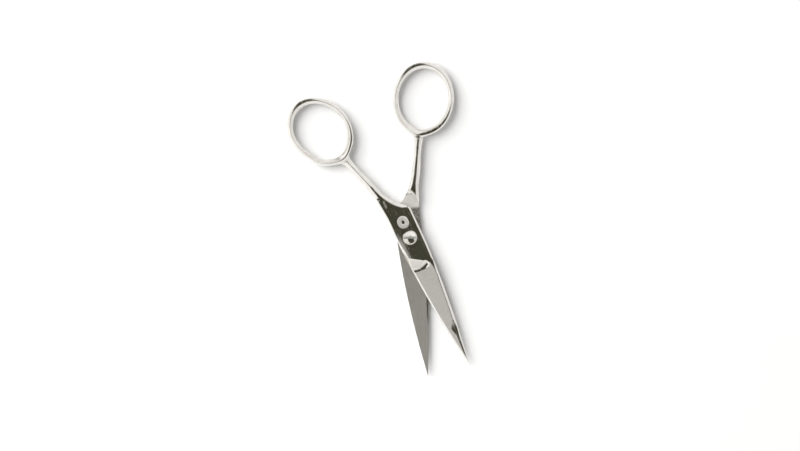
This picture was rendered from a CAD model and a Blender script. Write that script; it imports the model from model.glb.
"""Small nickel-plated sewing scissors (thread snips), lying open on a white table.

Three pieces, each replacing its CAD node: the upper half, the lower half turned over, and
the pivot screw. A half is built in its own frame, in millimetres: x towards its bow, y
towards its tip, z up out of the cutting plane.
"""

import math

import bmesh
import bpy
import numpy as np
from mathutils import Matrix, Vector


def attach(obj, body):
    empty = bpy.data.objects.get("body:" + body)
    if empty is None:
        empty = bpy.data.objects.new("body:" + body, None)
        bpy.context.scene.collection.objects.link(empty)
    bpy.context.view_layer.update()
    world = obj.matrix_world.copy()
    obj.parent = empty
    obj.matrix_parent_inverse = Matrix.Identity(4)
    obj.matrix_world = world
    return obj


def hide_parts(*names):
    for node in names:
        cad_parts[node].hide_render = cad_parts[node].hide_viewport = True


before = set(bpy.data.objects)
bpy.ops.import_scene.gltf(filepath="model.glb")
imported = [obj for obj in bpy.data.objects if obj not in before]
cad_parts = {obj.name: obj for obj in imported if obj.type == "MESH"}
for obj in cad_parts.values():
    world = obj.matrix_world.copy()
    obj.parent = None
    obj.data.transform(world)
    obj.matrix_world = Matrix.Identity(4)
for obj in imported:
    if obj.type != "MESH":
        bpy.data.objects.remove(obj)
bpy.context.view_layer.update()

MM = 0.001

# ---- driving dimensions, in millimetres and degrees --------------------------------------

BLADE_REACH = 56.6
REST_OPENING = 17.6
HALF_WIDTH = 5.25
BLADE_TAPER = 1.75
TIP_WIDTH = 0.16
THICKNESS = 2
FACE_GAP = 0.1
FACE_TOP = FACE_GAP / 2 + THICKNESS
INNER_FACE = FACE_GAP / 2

BOW_WIRE = 0.11
HANDLE_HALF_HEIGHT = 1.88
SEAM = np.array([5.55, -24.6])
SEAM_HALF_WIDTH = 1.85
POCKET_Y = -13.8
POCKET_X = -1
POCKET_RADIUS = 6

UPPER = {
    "bow": np.array([14.6, -54.6]), "long": 13.1, "short": 10.95, "tilt": 21,
    "joint": np.array([11, -41.5]), "bulge": 1.1, "dip": 0.15, "turn": (-27, 17),
}
LOWER = {
    "bow": np.array([12.7, -54.9]), "long": 13.55, "short": 11.2, "tilt": 11.5,
    "joint": np.array([9.4, -42.5]), "bulge": 0, "dip": 0.08, "turn": (-28, 28),
}
# "dip" is how much flatter the shank is than the bow where they meet, and "turn" the span of
# degrees in which the bow's ridge changes from its shape behind the shank to that ahead of it.
# "ridge" is the ridge and the shoulder inside it, across and up in half sizes, behind and
# ahead of the shank.
UPPER["ridge"] = ((0.66, (-0.02, 0.93)), (0.26, (-0.20, 0.60)))
LOWER["ridge"] = ((0.40, (-0.15, 0.60)), (0.64, (-0.16, 0.85)))

STAMP = {
    "x": -0.1, "y": -6.7, "long": 2.45, "short": 2.1, "depth": 0.14, "island": 0.42,
    "soft": 0.05,
}

SCREW_HEAD = 2.9
SCREW_RIM = 2.45
SCREW_FLANK_START = 0.3
SCREW_HEAD_HEIGHT = 1.1
SCREW_DISH = 0.6
SCREW_SHOULDER = 1.7
SCREW_THREAD = 1.5
SCREW_CLEARANCE = 0.05
SLOT_WIDTH = 0.95
SLOT_DEPTH = 0.85
SLOT_ANGLE = -16.5
SLOT_ROUGHNESS = 0.6  # of the slot's floor, as a share of the stamp's
SCREW_ROUNDING = 0.05
SCREW_CRISP_ANGLE = 38
SCREW_STEPS = 96
DISH_STEPS = 14

# ---- camera, light and table -------------------------------------------------------------

IMAGE_WIDTH = 800
MM_PER_PIXEL = 0.4045
VIEW_ROLL = math.radians(16.3)  # between the picture's downward edge and +Y
RIGHT = Vector((-math.cos(VIEW_ROLL), math.sin(VIEW_ROLL), 0))
DOWN = Vector((math.sin(VIEW_ROLL), math.cos(VIEW_ROLL), 0))
UP = -DOWN
ZENITH = Vector((0, 0, 1))
CAMERA_HEIGHT = 1.5
CAMERA_SENSOR = 36
FRAME_CENTRE = RIGHT * -0.0040 + DOWN * -0.00485  # the picture's middle, from the pivot


def linked(name, data):
    piece = bpy.data.objects.new(name, data)
    bpy.context.collection.objects.link(piece)
    return piece


def in_view(degrees):
    """The horizontal direction at an angle in the picture, anticlockwise from its right."""
    angle = math.radians(degrees)
    return RIGHT * math.cos(angle) + UP * math.sin(angle)


def add_camera():
    data = bpy.data.cameras.new("camera")
    data.sensor_width = CAMERA_SENSOR
    data.lens = data.sensor_width * CAMERA_HEIGHT / (IMAGE_WIDTH * MM_PER_PIXEL * MM)
    camera = linked("camera", data)
    turn = Matrix((RIGHT, UP, ZENITH)).transposed().to_4x4()
    camera.matrix_world = Matrix.Translation(FRAME_CENTRE + ZENITH * CAMERA_HEIGHT) @ turn
    bpy.context.scene.camera = camera


class Nodes:
    """Short calls for building one node tree."""

    def __init__(self, tree):
        self.tree = tree
        tree.nodes.clear()

    def add(self, kind, inputs=(), **settings):
        node = self.tree.nodes.new(kind)
        for key, value in settings.items():
            setattr(node, key, value)
        for key, value in dict(inputs).items():
            self.put(node.inputs[key], value)
        return node

    def put(self, socket, value):
        if isinstance(value, bpy.types.NodeSocket):
            self.tree.links.new(value, socket)
        else:
            socket.default_value = value

    def math(self, operation, a, b=0.0, c=0.0, clamp=False):
        node = self.add("ShaderNodeMath", operation=operation, use_clamp=clamp)
        for socket, value in zip(node.inputs, (a, b, c)):
            self.put(socket, value)
        return node.outputs[0]

    def ramp(self, value, low, high, to_low=0.0, to_high=1.0):
        """value mapped smoothly from low..high to to_low..to_high."""
        node = self.add(
            "ShaderNodeMapRange",
            {"Value": value, "From Min": low, "From Max": high, "To Min": to_low,
             "To Max": to_high},
            interpolation_type="SMOOTHSTEP",
        )
        return node.outputs["Result"]

    def mix(self, factor, a, b):
        node = self.add("ShaderNodeMix", data_type="FLOAT")
        for key, value in ((0, factor), (2, a), (3, b)):
            self.put(node.inputs[key], value)
        return node.outputs[0]

    def mix_colour(self, factor, a, b):
        node = self.add("ShaderNodeMix", data_type="RGBA")
        for key, value in ((0, factor), (6, a), (7, b)):
            self.put(node.inputs[key], value)
        return node.outputs[2]

    def dot(self, vector, axis):
        node = self.add("ShaderNodeVectorMath", operation="DOT_PRODUCT")
        self.put(node.inputs[0], vector)
        node.inputs[1].default_value = axis
        return node.outputs["Value"]

    def noise(self, vector, scale, detail=3.0, roughness=0.5):
        node = self.add(
            "ShaderNodeTexNoise",
            {"Vector": vector, "Scale": scale, "Detail": detail, "Roughness": roughness},
        )
        return node.outputs["Fac"]

    def streaks(self, vector, scale, detail, roughness=0.7):
        """Noise drawn out along the axes with a small scale."""
        vector = self.stretched(vector, scale)
        return self.noise(vector, 1.0, detail, roughness)

    def stretched(self, vector, scale):
        return self.add("ShaderNodeMapping", {"Vector": vector, "Scale": scale}).outputs["Vector"]


STUDIO_WHITE = (1.0, 0.992, 0.975, 1)
STUDIO_DARK = (0.055, 0.055, 0.037, 1)
STUDIO_STRENGTH = 1.0
STUDIO_FILL = 0.46  # what reaches matt surfaces
DARK_DIRECTION = 117  # the studio's dark patch leans this way in the picture
DARK_CENTRE = 0.36
DARK_LENGTH = 0.62
DARK_WIDTH = 0.44
DARK_SOFTNESS = 0.10
LIGHT_SIDE = 172  # the studio is brighter towards this side of the picture
SIDE_GAIN = 0.16


def add_studio():
    """A white studio with one dark patch overhead, which the polished metal mirrors."""
    world = bpy.data.worlds.new("studio")
    world.use_nodes = True
    bpy.context.scene.world = world
    nodes = Nodes(world.node_tree)
    ray = nodes.add("ShaderNodeTexCoord").outputs["Generated"]
    along = nodes.dot(ray, in_view(DARK_DIRECTION))
    across = nodes.dot(ray, in_view(DARK_DIRECTION - 90))
    height = nodes.dot(ray, ZENITH)
    along = nodes.math("DIVIDE", nodes.math("SUBTRACT", along, DARK_CENTRE), DARK_LENGTH)
    across = nodes.math("DIVIDE", across, DARK_WIDTH)
    along = nodes.math("MULTIPLY", along, along)
    across = nodes.math("MULTIPLY", across, across)
    radius = nodes.math("SQRT", nodes.math("ADD", along, across))
    dark = nodes.ramp(radius, 1 + DARK_SOFTNESS, 1 - DARK_SOFTNESS)
    dark = nodes.math("MULTIPLY", dark, nodes.math("GREATER_THAN", height, 0.0))
    colour = nodes.mix_colour(dark, STUDIO_WHITE, STUDIO_DARK)
    diffuse = nodes.add("ShaderNodeLightPath").outputs["Is Diffuse Ray"]
    side = nodes.math("MULTIPLY", nodes.dot(ray, in_view(LIGHT_SIDE)), SIDE_GAIN)
    strength = nodes.mix(diffuse, nodes.math("ADD", side, STUDIO_STRENGTH), STUDIO_FILL)
    background = nodes.add("ShaderNodeBackground", {"Color": colour, "Strength": strength})
    output = nodes.add("ShaderNodeOutputWorld")
    nodes.put(output.inputs["Surface"], background.outputs[0])


KEY_DIRECTION = 152
KEY_ELEVATION = 36
KEY_DISTANCE = 2.0
KEY_SIZE = 2.6
KEY_WATTS = 82
KEY_COLOUR = (1, 0.992, 0.978)


def add_key_light():
    data = bpy.data.lights.new("key", "AREA")
    data.shape = "DISK"
    data.size = KEY_SIZE
    data.energy = KEY_WATTS
    data.color = KEY_COLOUR
    light = linked("key", data)
    light.visible_glossy = False
    rise = math.radians(KEY_ELEVATION)
    away = in_view(KEY_DIRECTION) * math.cos(rise) + ZENITH * math.sin(rise)
    light.location = away * KEY_DISTANCE
    light.rotation_mode = "QUATERNION"
    light.rotation_quaternion = away.to_track_quat("Z", "Y")


TABLE_HALF_SIZE = 3.0
TABLE_LEVEL = -0.00002
TABLE_GRAIN = 30.0
TABLE_DEEP = (0.895, 0.90, 0.905, 1)
TABLE_LIGHT = (0.915, 0.92, 0.925, 1)


def add_table():
    form = bmesh.new()
    corners = [
        form.verts.new((x * TABLE_HALF_SIZE, y * TABLE_HALF_SIZE, TABLE_LEVEL))
        for x, y in ((-1, -1), (1, -1), (1, 1), (-1, 1))
    ]
    form.faces.new(corners)
    mesh = bpy.data.meshes.new("table")
    form.to_mesh(mesh)
    form.free()
    table = linked("table", mesh)
    material = bpy.data.materials.new("white_table")
    material.use_nodes = True
    nodes = Nodes(material.node_tree)
    place = nodes.add("ShaderNodeTexCoord").outputs["Object"]
    shade = nodes.mix_colour(nodes.noise(place, TABLE_GRAIN), TABLE_DEEP, TABLE_LIGHT)
    shader = nodes.add("ShaderNodeBsdfPrincipled", {"Base Color": shade, "Roughness": 0.9})
    shader.inputs["Specular IOR Level"].default_value = 0.1
    output = nodes.add("ShaderNodeOutputMaterial")
    nodes.put(output.inputs["Surface"], shader.outputs[0])
    mesh.materials.append(material)


# ---- small helpers -----------------------------------------------------------------------


def stored_vectors(mesh, key):
    values = np.empty(len(mesh.vertices) * 3)
    mesh.vertices.foreach_get(key, values)
    return values.reshape(-1, 3)


def store(mesh, name, values):
    layer = mesh.attributes.new(name, "FLOAT", "POINT")
    layer.data.foreach_set("value", values.astype(np.float32))


def store_place(mesh, points):
    place = mesh.attributes.new("place", "FLOAT_VECTOR", "POINT")
    place.data.foreach_set("vector", points.astype(np.float32).ravel())


def smooth_step(low, high, value):
    t = np.clip((value - low) / (high - low), 0, 1)
    return t * t * (3 - 2 * t)


def smooth_min(a, b, radius):
    t = np.clip(0.5 + 0.5 * (b - a) / radius, 0, 1)
    return b + (a - b) * t - radius * t * (1 - t)


def curve_through(points, places):
    """Catmull-Rom curve through points, at places from 0 to 1."""
    points = np.asarray(points, float)
    place = np.clip(np.asarray(places, float), 0, 1) * (len(points) - 1)
    start = np.minimum(place.astype(int), len(points) - 2)
    t = (place - start)[:, None]
    before = points[np.maximum(start - 1, 0)]
    a, b = points[start], points[start + 1]
    after = points[np.minimum(start + 2, len(points) - 1)]
    return 0.5 * (
        2 * a + (b - before) * t + (2 * before - 5 * a + 4 * b - after) * t**2
        + (3 * (a - b) + after - before) * t**3
    )


def around(points, places):
    """A closed Catmull-Rom curve through points, at places counted in points."""
    count = len(points)
    start = np.floor(places).astype(int)
    t = (places - start)[:, None]
    p = [points[(start + k) % count] for k in (-1, 0, 1, 2)]
    return 0.5 * (
        2 * p[1] + (p[2] - p[0]) * t + (2 * p[0] - 5 * p[1] + 4 * p[2] - p[3]) * t**2
        + (3 * (p[1] - p[2]) + p[3] - p[0]) * t**3
    )


def turned(vector, degrees):
    angle = math.radians(degrees)
    c, s = math.cos(angle), math.sin(angle)
    return np.array([c * vector[0] - s * vector[1], s * vector[0] + c * vector[1]])


# ---- bow and shank: a control cage of twelve-sided sections -------------------------------

SIDES = 12
FAR_LEAN = -0.08  # how far the ridge leans outward at the bow's far end, in half widths
CREST, KEEL = 3, 9  # the section's points on the ridge above and below
ROOF = ((1, 0), (0.965, 0.38), (0.75, 0.70), (0, 1))  # a quarter of the ridged section
ROUND = ((1, 0), (0.94, 0.42), (0.62, 0.84), (0, 1))  # a quarter of the rounded section
RIDGE_CREASE = 0.56
RING_STEPS = 20
JUNCTION_ANGLE = 12.5
SHANK_PLACES = (0, 0.07, 0.16, 0.36, 0.58, 0.80, 1.0)
SHANK_END = 3.4  # from the last shank section to the bow's centre line
SHANK_WIDTHS = ((0, 0.16, 0.5, 0.8, 1), (1.85, 1.78, 1.55, 1.50, 1.62))  # halves, by place
SHANK_FLARE = 0.25
BULGE_START = 20  # degrees past the shank, and how far the bulge reaches ahead and behind
BULGE_AHEAD = 38
BULGE_BEHIND = 45
RIDGE_REACH = 88  # degrees either side of the shank over which the ridge leans outward
PULL = 0.80  # how far the bow is drawn towards the shank, over PULL_REACH degrees
PULL_REACH = 17
PULL_SHARES = ((0, 0.5, 1), (0.45, 0.65, 1))  # from the bow's inner to its outer side
EXCESS_REMOVED = 0.75  # of what rises above the handle's height where bow and shank meet
CAGE_LEVELS = 3
FITTING_ROUNDS = 24


def section(centre, side, half_width, half_height, below=ROOF):
    """Twelve points around centre: 0 on the side, 3 on top, 6 opposite and 9 below."""
    quarter = SIDES // 4
    points = []
    for k in range(SIDES):
        step = min(k % (2 * quarter), 2 * quarter - k % (2 * quarter))
        above = k <= 2 * quarter
        across, up = (ROOF if above else below)[step]
        if quarter < k < 3 * quarter:
            across = -across
        x, y = centre + side * (across * half_width)
        points.append([x, y, (up if above else -up) * half_height])
    return points


def bow_section(centre, outward, half_width, half, offset):
    """A bow's section; beside the shank its ridge leans outward and its inner side is steep."""
    points = section(centre, outward, half_width, HANDLE_HALF_HEIGHT)
    beside = math.exp(-((offset / RIDGE_REACH) ** 4))
    behind, ahead = half["ridge"]
    past = float(smooth_step(*half["turn"], offset))
    lean = behind[0] + (ahead[0] - behind[0]) * past
    shoulder = np.array(behind[1]) + (np.array(ahead[1]) - np.array(behind[1])) * past
    places = {
        CREST: ((FAR_LEAN, 1), (lean, 1)),
        CREST - 1: ((0.75 + 0.5 * FAR_LEAN, 0.70), (0.75 + 0.3 * lean, 0.74)),
        CREST + 1: ((-0.75 + 0.5 * FAR_LEAN, 0.70), shoulder),
        CREST + 2: ((-0.965, 0.38), (-0.83, 0.22)),
    }
    for k, (far, near) in places.items():
        across, up = np.array(far) * (1 - beside) + np.array(near) * beside
        x, y = centre + outward * (across * half_width)
        points[k] = [x, y, up * HANDLE_HALF_HEIGHT]
        points[(SIDES - k) % SIDES] = [x, y, -up * HANDLE_HALF_HEIGHT]
    return points


def bow_meeting(half):
    """The angle around the bow at which the shank meets it."""
    local = turned(half["joint"] - half["bow"], -half["tilt"])
    return math.degrees(math.atan2(local[0] / half["short"], local[1] / half["long"]))


def bow_and_shank_cage(half):
    """Points that the finished surface passes through, and the cage's quads."""
    centre, meeting = half["bow"], bow_meeting(half)
    away = half["joint"] - SEAM
    length = np.linalg.norm(away)
    away /= length
    side = np.array([-away[1], away[0]])
    targets, faces = [], []

    for place in SHANK_PLACES:
        flare = smooth_step(0.62, 1.0, place)
        width = np.interp(place, *SHANK_WIDTHS) + SHANK_FLARE * flare
        at = SEAM + away * (place * (length - SHANK_END))
        dip = 1 - half["dip"] * smooth_step(0.5, 1.0, place)
        targets += section(at, side, width, HANDLE_HALF_HEIGHT * dip, ROUND)
    rows = len(SHANK_PLACES)
    for row in range(rows - 1):
        for k in range(SIDES):
            a, b = row * SIDES + k, row * SIDES + (k + 1) % SIDES
            faces.append((a, b, b + SIDES, a + SIDES))

    first = len(targets)
    wide = 360 - 2 * JUNCTION_ANGLE
    offsets = [-JUNCTION_ANGLE, 0]
    offsets += [JUNCTION_ANGLE + wide * k / RING_STEPS for k in range(RING_STEPS)]
    for index, offset in enumerate(offsets):
        angle = math.radians(meeting + offset)
        local = np.array([half["short"] * math.sin(angle), half["long"] * math.cos(angle)])
        normal = np.array([half["long"] * math.sin(angle), half["short"] * math.cos(angle)])
        normal = turned(normal / np.linalg.norm(normal), half["tilt"])
        half_width = BOW_WIRE * np.linalg.norm(local)
        offset = (offset + 180) % 360 - 180
        past = offset - BULGE_START
        past /= BULGE_AHEAD if past > 0 else BULGE_BEHIND
        bulge = half["bulge"] * math.exp(-(past ** 4 if past > 0 else past ** 2))
        pull = PULL * math.exp(-((offset / PULL_REACH) ** 2))
        at = centre + turned(local, half["tilt"]) + normal * bulge
        ring = bow_section(at, normal, half_width, half, offset)
        for k in range(SIDES):
            outward = 0.5 + 0.5 * math.cos(2 * math.pi * k / SIDES)
            ring[k][:2] -= away * (pull * np.interp(outward, *PULL_SHARES))
        if index < 3:
            outward, height = (0.95, 1 - half["dip"]) if index == 1 else (0.84, 0.78)
            for k, sign in ((2, 1), (SIDES - 2, -1)):
                x, y = at - away * pull + normal * (outward * half_width)
                ring[k] = [x, y, sign * height * HANDLE_HALF_HEIGHT]
        targets += ring
    count = len(offsets)
    for index in range(count):
        for k in range(SIDES):
            if index < 2 and k in (SIDES - 2, SIDES - 1, 0, 1):
                continue
            a = first + index * SIDES + k
            b = first + index * SIDES + (k + 1) % SIDES
            c = first + ((index + 1) % count) * SIDES
            faces.append((a, c + k, c + (k + 1) % SIDES, b))

    # The shank's last section joins the gap left in the bow's outer side.
    low, middle, high = first, first + SIDES, first + 2 * SIDES
    gap = [high, high + 1, high + 2, middle + 2, low + 2, low + 1, low]
    gap += [low + 11, low + 10, middle + 10, high + 10, high + 11]
    last = (rows - 1) * SIDES
    for k in range(SIDES):
        faces.append((last + k, last + (k + 1) % SIDES, gap[(k + 1) % SIDES], gap[k]))

    ridges = []
    for k in (CREST, KEEL):
        ring = [first + index * SIDES + k for index in range(count)]
        ridges += zip(ring, ring[1:] + ring[:1])
    spine = [row * SIDES + CREST for row in range(rows)] + [middle + 2]
    ridges += zip(spine, spine[1:])
    unused = {middle + SIDES - 1, middle, middle + 1}
    return targets, faces, ridges, unused, side


def limit_positions(points, faces, ridges, used):
    """Where Catmull-Clark subdivision takes each cage point."""
    edges, around_point, open_edges = {}, {i: [] for i in used}, {i: [] for i in used}
    for a, b in ridges:
        open_edges[a].append(b)
        open_edges[b].append(a)
    for face in faces:
        for k, a in enumerate(face):
            b = face[(k + 1) % 4]
            edges.setdefault(frozenset((a, b)), []).append(face)
            around_point[a].append(face)
    neighbours = {i: [] for i in used}
    rim = {i for edge, beside in edges.items() if len(beside) == 1 for i in edge}
    for edge, beside in edges.items():
        a, b = edge
        neighbours[a].append(b)
        neighbours[b].append(a)
        if len(beside) == 1:
            for i, j in ((a, b), (b, a)):
                open_edges[i] = [k for k in open_edges[i] if k in rim] + [j]
    result = points.copy()
    for i in used:
        if len(open_edges[i]) == 2:
            result[i] = (4 * points[i] + sum(points[j] for j in open_edges[i])) / 6
            continue
        valence = len(neighbours[i])
        opposite = [face[(face.index(i) + 2) % 4] for face in around_point[i]]
        result[i] = (
            valence**2 * points[i]
            + 4 * sum(points[j] for j in neighbours[i])
            + sum(points[j] for j in opposite)
        ) / (valence * (valence + 5))
    return result


def bow_and_shank(half):
    """The subdivided bow and shank as (points, faces, open loop, side direction)."""
    targets, faces, ridges, unused, side = bow_and_shank_cage(half)
    targets = np.array(targets)
    used = [i for i in range(len(targets)) if i not in unused]
    cage = targets.copy()
    for _ in range(FITTING_ROUNDS):
        cage += targets - limit_positions(cage, faces, ridges, used)

    renumber = {old: new for new, old in enumerate(used)}
    mesh = bpy.data.meshes.new("cage")
    mesh.from_pydata(cage[used].tolist(), [], [[renumber[i] for i in face] for face in faces])
    ridge_edges = {frozenset((renumber[a], renumber[b])) for a, b in ridges}
    sharpness = mesh.attributes.new("crease_edge", "FLOAT", "EDGE")
    for edge in mesh.edges:
        if frozenset(edge.vertices) in ridge_edges:
            sharpness.data[edge.index].value = RIDGE_CREASE
    holder = linked("cage", mesh)
    smooth = holder.modifiers.new("smooth", "SUBSURF")
    smooth.levels = smooth.render_levels = CAGE_LEVELS
    evaluated = holder.evaluated_get(bpy.context.evaluated_depsgraph_get())
    fine = bpy.data.meshes.new_from_object(evaluated)
    points = stored_vectors(fine, "co")
    excess = np.maximum(np.abs(points[:, 2]) - HANDLE_HALF_HEIGHT, 0)
    points[:, 2] -= EXCESS_REMOVED * excess * np.sign(points[:, 2])
    quads = [tuple(polygon.vertices) for polygon in fine.polygons]
    bpy.data.objects.remove(holder)
    for data in (mesh, fine):
        bpy.data.meshes.remove(data)

    uses = {}
    for quad in quads:
        for k, a in enumerate(quad):
            edge = frozenset((a, quad[(k + 1) % 4]))
            uses[edge] = uses.get(edge, 0) + 1
    rim = {i for edge, count in uses.items() if count == 1 for i in edge}
    angle = {
        i: math.atan2(points[i][2], float(np.dot(points[i][:2] - SEAM, side))) % (2 * math.pi)
        for i in rim
    }
    loop = sorted(rim, key=lambda i: angle[i] if angle[i] < 2 * math.pi - 1e-3 else 0)
    return points, quads, loop, side


# ---- joint and blade: sections across the outline ----------------------------------------

LOOP = SIDES * 2**CAGE_LEVELS
TOP_FROM, TOP_TO = 12, 36  # of the loop's 96 places, those along the top
UNDER_FROM, UNDER_TO = 60, 84
FINER = 3
GROUND_TILT = 0.17
GROUND_FALL = 0.0236
GROUND_LEVEL_X = -3.42
GROUND_START = 13.4
SPINE_LEVEL = 6.2
SPINE_SLOPE = 0.6
SPINE_FALL = 0.1014
SLAB_END = 10.15
SLAB_SKEW = 0.66
SLAB_CURVE = 0.055
GROOVE = {"x": 1.8, "y": 13.1, "bend": 0.075, "end": -2.1, "depth": 0.20, "curl": 0.5}
GROOVE_DEEPENS = 0.17  # per millimetre towards the spine
TIP_FACET = {
    "start": 35.6, "widest": 40.9, "waist": 44.0, "end": 54.0, "depth": 0.19, "lean": 0.075,
}
TIP_FACET_DEPTHS = (1, 0.45, 0.21)  # shares of its depth where widest, at waist and end
CREASE = {"x": 3.5, "half_width": 0.26, "depth": 0.04}
REAR_Y = -9
DETAIL_END = 15.5
REAR_SHARE = 0.34  # of the joint's rear outline, over which the shank's oval fades out
EDGE_THICKNESS = 0.12  # of the cutting edge
WALL_THICKNESS = 1.60  # of the joint's side below its chamfer
EDGE_SLOPES = ((-6, 8, 13, 20), (0.9, 1.9, 1.3, 1.15))  # along the blade, mm and slope
INNER_DROP = 0.52  # how far the inner side's chamfer starts below the top
REAR_DROP = 0.55  # and further down behind the joint
CHAMFER_SLOPE = 0.9
FACE_ROUNDING = 0.05  # between the joint's flat top and the ground face
RIDGE_ROUNDING = 0.38  # between the ground face and the spine's bevel
LEAST_THICKNESS = 0.03
UNDER_DEPTH = 1.86
REAR_STEPS = 120  # rows of the mesh behind the joint
JOINT_STEP = 0.16  # millimetres between rows along the joint
BLADE_STEPS = 90


def eased(t):
    """0 to 1 across the section, with closer points at both ends."""
    return 0.6 * (0.5 - 0.5 * np.cos(np.pi * t)) + 0.4 * t


def blade_half_width(y):
    return HALF_WIDTH * (1 - (np.maximum(y, 0) / BLADE_REACH) ** BLADE_TAPER)


def outlines(side):
    """The outer and inner outlines from the shank's seam to the tip, as paired points."""
    outer = [
        SEAM + side * SEAM_HALF_WIDTH, (6.42, -20.9), (5.98, -18.2), (5.74, -15.8),
        (5.55, -13.6), (5.40, -12.1), (5.30, -10.8), (HALF_WIDTH, REAR_Y),
    ]
    inner = [
        SEAM - side * SEAM_HALF_WIDTH, (2.60, -21.3), (0.90, -17.9), (-1.05, -15.2),
        (-3.35, -13.15), (-4.75, -12.0), (-5.18, -10.9), (-HALF_WIDTH, REAR_Y),
    ]
    rear = np.linspace(0, 1, REAR_STEPS)
    joint = np.arange(REAR_Y, DETAIL_END, JOINT_STEP)[1:]
    blade = np.linspace(DETAIL_END, BLADE_REACH, BLADE_STEPS)
    front = np.concatenate([joint, blade])
    width = np.maximum(blade_half_width(front), TIP_WIDTH / 2)
    outer = np.vstack([curve_through(outer, rear), np.column_stack([width, front])])
    inner = np.vstack([curve_through(inner, rear), np.column_stack([-width, front])])
    return outer, inner, rear


DISTANCE_BLOCK = 4000


def distance_to(line, x, y):
    """Distance of each plan point from the nearest point of a closely spaced line."""
    flat = np.column_stack([x.ravel(), y.ravel()])
    nearest = np.empty(len(flat))
    for start in range(0, len(flat), DISTANCE_BLOCK):
        block = slice(start, start + DISTANCE_BLOCK)
        gaps = flat[block, None, :] - line[None, :, :]
        nearest[block] = np.sqrt((gaps**2).sum(-1).min(-1))
    return nearest.reshape(x.shape)


def dense(line, spacing=0.05):
    """The same line with points at an even spacing."""
    steps = np.linalg.norm(np.diff(line, axis=0), axis=1)
    run = np.concatenate([[0], np.cumsum(steps)])
    at = np.linspace(0, run[-1], int(run[-1] / spacing))
    return np.column_stack([np.interp(at, run, line[:, 0]), np.interp(at, run, line[:, 1])])


def ground_plane(x, y):
    return FACE_TOP - GROUND_TILT * (x - GROUND_LEVEL_X) - GROUND_FALL * (y - GROUND_START)


def slab_front(x):
    """Where the joint's flat top ends towards the tip."""
    return SLAB_END - SLAB_SKEW * x + SLAB_CURVE * np.minimum(x, 0) ** 2


def groove_line(x):
    """The bottom of the shallow groove that the wheel left at the ground face's rear."""
    return np.maximum(GROOVE["y"] - GROOVE["bend"] * (x - GROOVE["x"]) ** 2, slab_front(x) + 0.25)


def groove_depth(x, y):
    open_end = smooth_step(GROOVE["end"] - 0.5, GROOVE["end"], x)
    deepest = (GROOVE["depth"] + GROOVE_DEEPENS * np.maximum(1 - x, 0)) * open_end
    return np.maximum(deepest - GROOVE["curl"] * (y - groove_line(x)) ** 2 / 2, 0)


def tip_facet(x, y):
    """A small polished facet that breaks the blade's ridge towards the tip."""
    ridge = (SPINE_FALL - GROUND_FALL) * y - SPINE_LEVEL + ground_plane(0, 0)
    ridge = ridge / (SPINE_SLOPE + GROUND_TILT)
    facet = TIP_FACET
    reached = smooth_step(facet["start"], facet["widest"], y)
    places = (facet["widest"], facet["waist"], facet["end"])
    depth = facet["depth"] * np.interp(y, places, TIP_FACET_DEPTHS)
    lost = depth * reached - 0.01 * (1 - reached)
    return ground_plane(ridge, y) - lost - facet["lean"] * (x - ridge)


def ground_height(x, y):
    """The blade's ground face, with the wheel's run-out and groove towards the joint."""
    face = ground_plane(x, y)
    start, front = groove_line(x), slab_front(x)
    climb = np.maximum(start - y, 0) / (start - front)
    run_out = np.maximum(FACE_TOP - ground_plane(x, front), 0.02) * climb**2
    return face + run_out - groove_depth(x, y)


def crease(x, y):
    """The shallow forging crease where the shank's corner runs out over the joint."""
    reached = smooth_step(-18.8, -17.4, y) * smooth_step(-13.4, -15.4, y)
    return CREASE["depth"] * reached * np.exp(-(((x - CREASE["x"]) / CREASE["half_width"]) ** 2))


def stamp_mask(x, y):
    """1 inside the struck oval, 0 outside it and on its raised middle."""
    reach = np.hypot((x - STAMP["x"]) / STAMP["short"], (y - STAMP["y"]) / STAMP["long"])
    soft, island = STAMP["soft"], STAMP["island"]
    edge = smooth_step(1 + soft, 1 - soft, reach)
    island = smooth_step(island + soft, island - soft, reach)
    return edge * (1 - island)


def top_height(x, y, to_outer, to_inner, stamped):
    """The top of joint and blade: flat, ground, bevelled at the spine and both edges."""
    ground = ground_height(x, y)
    spine = SPINE_LEVEL + SPINE_SLOPE * x - SPINE_FALL * y
    top = smooth_min(np.full_like(x, FACE_TOP), ground, FACE_ROUNDING)
    top = smooth_min(top, spine, RIDGE_ROUNDING)
    top = np.where(y > TIP_FACET["start"], np.minimum(top, tip_facet(x, y)), top)
    sharp = smooth_step(-3, 10, y)
    wall = WALL_THICKNESS + (EDGE_THICKNESS - WALL_THICKNESS) * sharp
    slope = np.interp(y, *EDGE_SLOPES)
    top = smooth_min(top, wall + slope * to_outer, 0.06 + 0.24 * smooth_step(-4, 8, y))
    rear = smooth_step(-11.2, -12.6, y)
    shoulder = FACE_TOP - INNER_DROP - REAR_DROP * rear + 0.25 * np.maximum(y - 11, 0)
    top = smooth_min(top, shoulder + CHAMFER_SLOPE * to_inner, 0.10 + 0.25 * rear)
    top = top - crease(x, y)
    if stamped:
        top = top - STAMP["depth"] * stamp_mask(x, y)
    return np.maximum(top, INNER_FACE + LEAST_THICKNESS)


def under_height(x, y, to_outer, to_inner):
    """The inner face, and behind the pocket's shoulder the shank's rounded underside."""
    edge = np.minimum(to_outer, to_inner)
    full = -smooth_min(np.full_like(x, UNDER_DEPTH), 1.0 + 0.95 * edge, 0.3)
    inside = np.maximum(y - POCKET_Y, POCKET_RADIUS - np.hypot(x - POCKET_X, y - POCKET_Y))
    pocket = smooth_step(-0.17, 0.17, inside)
    return full + (INNER_FACE - full) * pocket


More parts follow.
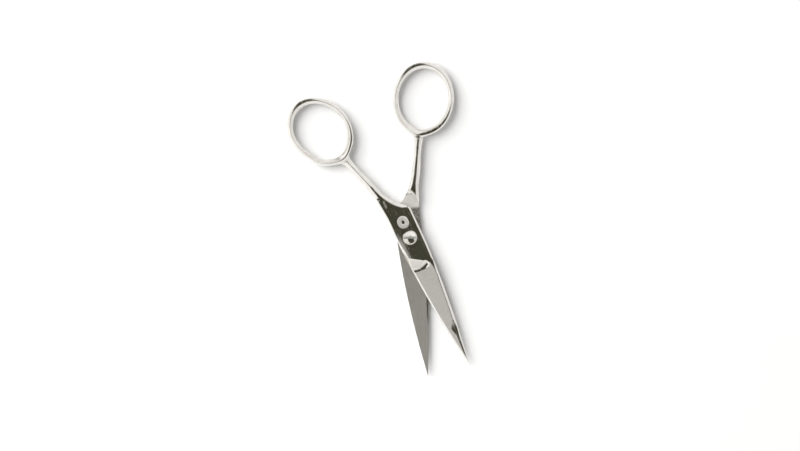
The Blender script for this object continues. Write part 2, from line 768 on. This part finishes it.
def loop_places():
    """Places around the section, finer along the top and the underside, coarser between."""
    places = []
    for k in range(LOOP):
        if TOP_FROM <= k < TOP_TO or UNDER_FROM <= k < UNDER_TO:
            places += [k + j / FINER for j in range(FINER)]
        elif k % FINER == 0:
            places.append(float(k))
    return np.array(places)


def joint_and_blade(half_loop, side, stamped):
    """Rows of section points (rows, places, 3), the first one just past the seam."""
    outer, inner, rear = outlines(side)
    outer_line, inner_line = dense(outer), dense(inner)
    places = loop_places()
    rows, columns = len(outer), len(places)
    top = (places >= TOP_FROM) & (places <= TOP_TO)
    under = (places >= UNDER_FROM) & (places <= UNDER_TO)
    reach = np.zeros(columns)
    reach[top] = eased((places[top] - TOP_FROM) / (TOP_TO - TOP_FROM))
    reach[under] = 1 - eased((places[under] - UNDER_FROM) / (UNDER_TO - UNDER_FROM))
    far_wall = (places > TOP_TO) & (places < UNDER_FROM)
    near_wall = ~(top | under | far_wall)
    reach[far_wall] = 1

    plan = outer[:, None, :] + reach[None, :, None] * (inner - outer)[:, None, :]
    x, y = plan[..., 0], plan[..., 1]
    to_outer, to_inner = distance_to(outer_line, x, y), distance_to(inner_line, x, y)
    upper = top_height(x, y, to_outer, to_inner, stamped)
    lower = under_height(x, y, to_outer, to_inner)
    share = np.zeros(columns)
    share[far_wall] = (UNDER_FROM - places[far_wall]) / (UNDER_FROM - TOP_TO)
    share[near_wall] = ((places[near_wall] - UNDER_TO) % LOOP) / (TOP_FROM + LOOP - UNDER_TO)
    share[top] = 1
    plate = np.dstack([x, y, lower + (upper - lower) * share[None, :]])

    # Near the seam the section melts into the shank's oval.
    shape = around(half_loop, places)
    sideways = (shape[:, :2] - SEAM) @ side / SEAM_HALF_WIDTH
    middle = (outer + inner) / 2
    oval_plan = middle[:, None, :] + sideways[None, :, None] * ((outer - inner) / 2)[:, None, :]
    ovals = np.dstack([oval_plan, np.broadcast_to(shape[:, 2], (rows, columns))])
    weight = np.ones(rows)
    weight[:len(rear)] = smooth_step(0.0, REAR_SHARE, rear)
    return ovals + (plate - ovals) * weight[:, None, None], places


FIRST_SHARP_ROW = 30  # before it the section's corners are still round
MERGE_DISTANCE = 0.0005


def build_half(name, half, stamped):
    """One whole half as a mesh in its own frame, in millimetres."""
    points, quads, loop, side = bow_and_shank(half)
    rows, places = joint_and_blade(points[loop], side, stamped)
    rows = rows[1:]
    count, columns = rows.shape[:2]
    first = len(points)
    vertices = np.vstack([points, rows.reshape(-1, 3)])
    faces = list(quads)
    whole = {int(place): k for k, place in enumerate(places) if place == int(place)}
    shared = sorted(whole)
    for start, end in zip(shared, shared[1:] + [LOOP]):
        behind = [loop[k % LOOP] for k in range(end, start - 1, -1)]
        ahead = range(whole[start], (whole.get(end) or columns) + 1)
        faces.append(behind + [first + k % columns for k in ahead])
    for row in range(count - 1):
        base = first + row * columns
        for k in range(columns):
            a, b = base + k, base + (k + 1) % columns
            faces.append((b, a, a + columns, b + columns))
    tip = first + (count - 1) * columns
    faces.append([tip + k for k in reversed(range(columns))])

    mesh = bpy.data.meshes.new(name)
    mesh.from_pydata(vertices.tolist(), [], [list(face) for face in faces])
    form = bmesh.new()
    form.from_mesh(mesh)
    form.verts.ensure_lookup_table()
    corners = [whole[TOP_FROM], whole[TOP_TO], whole[UNDER_FROM], whole[UNDER_TO]]
    for row in range(FIRST_SHARP_ROW, count - 1):
        for k in corners:
            a = form.verts[first + row * columns + k]
            b = form.verts[first + (row + 1) * columns + k]
            form.edges.get((a, b)).smooth = False
    bmesh.ops.remove_doubles(form, verts=form.verts, dist=MERGE_DISTANCE)
    bmesh.ops.recalc_face_normals(form, faces=form.faces)
    for face in form.faces:
        face.smooth = True
    form.to_mesh(mesh)
    form.free()
    return mesh


BORE_SEGMENTS = 96
BORE_DEPTH = 10
CRISP_ANGLE = 50


def cut(piece, form, placing, soften=0.0):
    """Takes the closed form away from the piece, and may round the new corners."""
    mesh = bpy.data.meshes.new("cutter")
    form.to_mesh(mesh)
    form.free()
    cutter = linked("cutter", mesh)
    cutter.matrix_world = placing
    difference = piece.modifiers.new("cut", "BOOLEAN")
    difference.operation = "DIFFERENCE"
    difference.solver = "EXACT"
    difference.object = cutter
    if soften:
        bevel = piece.modifiers.new("soften", "BEVEL")
        bevel.limit_method = "ANGLE"
        bevel.angle_limit = math.radians(CRISP_ANGLE)
        bevel.width = soften
        bevel.segments = 2
    result = bpy.data.meshes.new_from_object(
        piece.evaluated_get(bpy.context.evaluated_depsgraph_get())
    )
    piece.modifiers.clear()
    old, piece.data = piece.data, result
    bpy.data.objects.remove(cutter)
    for data in (old, mesh):
        bpy.data.meshes.remove(data)


def cut_round_hole(piece, radius):
    """Bores the pivot's hole through a half, with crisp rims."""
    form = bmesh.new()
    bmesh.ops.create_cone(
        form, cap_ends=True, segments=BORE_SEGMENTS, radius1=radius, radius2=radius,
        depth=BORE_DEPTH,
    )
    cut(piece, form, Matrix())
    form = bmesh.new()
    form.from_mesh(piece.data)
    for edge in form.edges:
        near = all(vertex.co.xy.length < radius + 0.01 for vertex in edge.verts)
        if near and edge.calc_face_angle(0) > math.radians(CRISP_ANGLE):
            edge.smooth = False
    form.to_mesh(piece.data)
    form.free()


def store_finish(mesh):
    """Keeps each point's place in the half's frame, and how far it is worked or worn.

    ground and inner are the blade's two brushed faces, struck the stamp's floor, and worn the
    joint's rubbed edge and outer band. The groove's far wall and the tip's facet stay polished,
    and so does the honed edge of the inner face.
    """
    points, normals = stored_vectors(mesh, "co"), stored_vectors(mesh, "normal")
    x, y, z = points.T
    on_ground = smooth_step(0.03, 0.008, np.abs(z - ground_height(x, y)))
    wall = smooth_step(0.0, 0.012, groove_depth(x, y)) * (y > groove_line(x))
    facet = (y > TIP_FACET["start"]) * smooth_step(0.012, 0.004, np.abs(z - tip_facet(x, y)))
    ground = on_ground * (normals[:, 2] > 0.9) * (1 - wall) * (1 - facet)
    ground = ground * smooth_step(0.1, 0.4, y - slab_front(x))
    tilt = 1 - normals[:, 2]
    worn = smooth_step(0.0, 0.006, tilt) * smooth_step(0.16, 0.05, tilt)
    worn = np.maximum(worn, smooth_step(3.3, 1.0, blade_half_width(y) - x) * smooth_step(-7, 2, y))
    worn = worn * (z > FACE_TOP - 0.6) * (normals[:, 2] > 0.7) * (y > -19)
    worn = worn * (y < slab_front(x) - 0.3) * smooth_step(-3.4, -2.4, x)
    inner = (np.abs(z - INNER_FACE) < 0.02) * (normals[:, 2] < -0.9)
    honed = 0.8 * smooth_step(0.65, 0.4, blade_half_width(y) - x)
    inner = inner * (1 - honed * smooth_step(14, 20, y) * smooth_step(40, 30, y))
    struck = stamp_mask(x, y) * ((z > FACE_TOP - 1.2 * STAMP["depth"]) & (z < FACE_TOP - 0.02))
    store(mesh, "ground", ground)
    store(mesh, "inner", inner)
    store(mesh, "struck", struck)
    store(mesh, "worn", worn)
    store_place(mesh, points)


def add_half(name, half, stamped, bore, placing):
    """A finished half as an object, bored and placed in the scene."""
    piece = linked(name, build_half(name, half, stamped))
    cut_round_hole(piece, bore)
    store_finish(piece.data)
    piece.data.transform(placing)
    piece.data.update()
    return piece


# ---- pivot screw -------------------------------------------------------------------------


def add_screw():
    """A turned screw with a conical flank, a rim, and a slot across its dished head."""
    middle = FACE_TOP
    seat = 2 * FACE_TOP + SCREW_CLEARANCE
    step = middle + SCREW_CLEARANCE
    crest = seat + SCREW_HEAD_HEIGHT
    dish_radius = (SCREW_RIM**2 + SCREW_DISH**2) / (2 * SCREW_DISH)
    profile = [
        (0, 0), (SCREW_THREAD - 0.06, 0), (SCREW_THREAD, 0.06), (SCREW_THREAD, step),
        (SCREW_SHOULDER, step), (SCREW_SHOULDER, seat), (SCREW_HEAD - 0.05, seat),
        (SCREW_HEAD, seat + 0.05), (SCREW_HEAD, seat + SCREW_FLANK_START - 0.06),
        (SCREW_HEAD - 0.03, seat + SCREW_FLANK_START + 0.05),
        (SCREW_RIM + 0.13, crest - 0.20), (SCREW_RIM + 0.07, crest - 0.08),
        (SCREW_RIM - 0.03, crest - 0.01), (SCREW_RIM - 0.14, crest - 0.018),
    ]
    for k in range(2, DISH_STEPS + 1):
        radius = SCREW_RIM * (1 - k / DISH_STEPS)
        rise = dish_radius - math.sqrt(dish_radius**2 - radius**2)
        profile.append((radius, crest - SCREW_DISH + rise))
    form = bmesh.new()
    line = [form.verts.new((radius, 0, height)) for radius, height in profile]
    edges = [form.edges.new(pair) for pair in zip(line, line[1:])]
    bmesh.ops.spin(
        form, geom=line + edges, cent=(0, 0, 0), axis=(0, 0, 1), angle=2 * math.pi,
        steps=SCREW_STEPS, use_merge=True,
    )
    bmesh.ops.remove_doubles(form, verts=form.verts, dist=MERGE_DISTANCE)
    bmesh.ops.recalc_face_normals(form, faces=form.faces)
    mesh = bpy.data.meshes.new("pivot_screw_turned")
    form.to_mesh(mesh)
    form.free()
    piece = linked("pivot_screw_turned", mesh)

    form = bmesh.new()
    bmesh.ops.create_cube(form, size=1)
    size = (4 * SCREW_HEAD, SLOT_WIDTH, 2 * SLOT_DEPTH)
    bmesh.ops.scale(form, vec=size, verts=form.verts)
    turn = Matrix.Rotation(math.radians(SLOT_ANGLE), 4, "Z")
    cut(piece, form, Matrix.Translation((0, 0, crest)) @ turn, soften=SCREW_ROUNDING)
    form = bmesh.new()
    form.from_mesh(piece.data)
    for face in form.faces:
        face.smooth = True
    for edge in form.edges:
        if edge.calc_face_angle(0) > math.radians(SCREW_CRISP_ANGLE):
            edge.smooth = False
    form.to_mesh(piece.data)
    form.free()
    points = stored_vectors(piece.data, "co")
    store_place(piece.data, points)
    floor = np.abs(points[:, 2] - (crest - SLOT_DEPTH)) < 0.02
    store(piece.data, "struck", SLOT_ROUGHNESS * floor)
    piece.data.transform(Matrix.Scale(MM, 4))
    return piece


# ---- nickel ------------------------------------------------------------------------------

NICKEL_LIGHT = (0.88, 0.862, 0.83, 1)
NICKEL_DEEP = (0.80, 0.775, 0.735, 1)
GROUND_LIGHT = (0.80, 0.775, 0.745, 1)
GROUND_DEEP = (0.66, 0.635, 0.60, 1)
GROUND_WARM = (0.78, 0.725, 0.705, 1)
SATIN_LIGHT = (0.97, 0.955, 0.93, 1)
WORN_ROUGHNESS = 0.42
REAR_ROUGHNESS = 0.85
STRUCK_ROUGHNESS = 0.6
BUMP_STRENGTH = 0.14
BUMP_DISTANCE = 0.00004


def nickel(name):
    """Bright nickel plate: polished, with fine scratches, and ground or struck in places."""
    material = bpy.data.materials.new(name)
    material.use_nodes = True
    nodes = Nodes(material.node_tree)

    def attribute(key, output):
        return nodes.add("ShaderNodeAttribute", attribute_name=key).outputs[output]

    place = attribute("place", "Vector")
    ground = attribute("ground", "Fac")
    inner = attribute("inner", "Fac")
    struck = attribute("struck", "Fac")
    worked = nodes.math("MAXIMUM", ground, inner)

    clouds = nodes.noise(place, 0.22, detail=4.0, roughness=0.6)
    haze = nodes.noise(place, 1.6, detail=5.0, roughness=0.65)
    hairs = nodes.streaks(place, (9.0, 0.5, 3.0), 6.0)
    wipes = nodes.streaks(place, (2.0, 0.15, 1.0), 4.0, 0.6)
    cross = nodes.streaks(place, (0.45, 11.0, 3.0), 7.0, 0.75)
    lengthwise = nodes.streaks(place, (11.0, 0.4, 3.0), 7.0, 0.75)
    grain = nodes.mix(inner, cross, lengthwise)
    passes = nodes.mix(inner, nodes.streaks(place, (0.16, 2.6, 1.0), 4.0), wipes)

    plated = nodes.mix_colour(nodes.ramp(clouds, 0.3, 0.75), NICKEL_LIGHT, NICKEL_DEEP)
    shade = nodes.ramp(passes, 0.3, 0.7, 0.0, 0.5)
    shade = nodes.math("ADD", nodes.ramp(grain, 0.36, 0.66, -0.2, 0.7), shade)
    brushed = nodes.mix_colour(shade, GROUND_DEEP, GROUND_LIGHT)
    brushed = nodes.mix_colour(nodes.ramp(clouds, 0.45, 0.7, 0.0, 0.5), brushed, GROUND_WARM)
    length = nodes.add("ShaderNodeSeparateXYZ", {"Vector": place}).outputs["Y"]
    rear = nodes.math("MULTIPLY", inner, nodes.ramp(length, -11.3, -12.6))
    brushed = nodes.mix_colour(rear, brushed, SATIN_LIGHT)
    colour = nodes.mix_colour(worked, plated, brushed)

    polished = nodes.ramp(haze, 0.3, 0.8, 0.045, 0.12)
    scuffs = nodes.ramp(hairs, 0.54, 0.74, 0.0, 0.26)
    smears = nodes.ramp(wipes, 0.42, 0.75, 0.0, 0.18)
    handled = nodes.ramp(length, -19.0, -26.0, 0.0, 0.07)
    for wear in (scuffs, smears, handled):
        polished = nodes.math("ADD", polished, wear)
    polished = nodes.mix(attribute("worn", "Fac"), polished, WORN_ROUGHNESS)
    satin = nodes.ramp(grain, 0.35, 0.7, 0.35, 0.44)
    rubbed = nodes.math("MULTIPLY", nodes.ramp(length, -1.0, -5.0), inner)
    satin = nodes.mix(rubbed, satin, nodes.ramp(haze, 0.35, 0.65, 0.20, 0.42))
    satin = nodes.mix(rear, satin, REAR_ROUGHNESS)
    roughness = nodes.mix(worked, polished, satin)
    roughness = nodes.mix(struck, roughness, STRUCK_ROUGHNESS)

    relief = nodes.mix(worked, nodes.math("MULTIPLY", hairs, 0.05), grain)
    relief = nodes.mix(struck, relief, nodes.math("MULTIPLY", haze, 2.0))
    bump = nodes.add(
        "ShaderNodeBump",
        {"Height": relief, "Strength": BUMP_STRENGTH, "Distance": BUMP_DISTANCE},
    )
    shader = nodes.add(
        "ShaderNodeBsdfPrincipled", {"Base Color": colour, "Metallic": 1.0, "Roughness": roughness}
    )
    nodes.put(shader.inputs["Normal"], bump.outputs["Normal"])
    output = nodes.add("ShaderNodeOutputMaterial")
    nodes.put(output.inputs["Surface"], shader.outputs[0])
    return material


# ---- assembly ----------------------------------------------------------------------------

add_camera()
add_studio()
add_key_light()
add_table()
bpy.context.scene.view_settings.view_transform = "Standard"

to_metres = Matrix.Scale(MM, 4)
lift = Matrix.Translation((0, 0, FACE_TOP))
opening = math.radians(REST_OPENING / 2)
place_upper = to_metres @ lift @ Matrix.Rotation(opening, 4, "Z")
turn_over = Matrix.Rotation(math.pi, 4, "Y")
place_lower = to_metres @ lift @ Matrix.Rotation(-opening, 4, "Z") @ turn_over

upper = add_half("upper_half", UPPER, True, SCREW_SHOULDER + SCREW_CLEARANCE, place_upper)
lower = add_half("lower_half", LOWER, False, SCREW_THREAD + SCREW_CLEARANCE, place_lower)
screw = add_screw()

forged = nickel("polished_and_ground_nickel")
turned_steel = nickel("turned_nickel")
for piece, material, slot, body, node in (
    (upper, forged, "nickel_plate", "upper_half", "upper_blade_and_handle"),
    (lower, forged, "nickel_plate", "lower_half", "lower_blade_and_handle"),
    (screw, turned_steel, "screw_nickel", "lower_half", "pivot_screw"),
):
    piece.data.materials.clear()
    piece.data.materials.append(material)
    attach(piece, body)
    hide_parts(node)
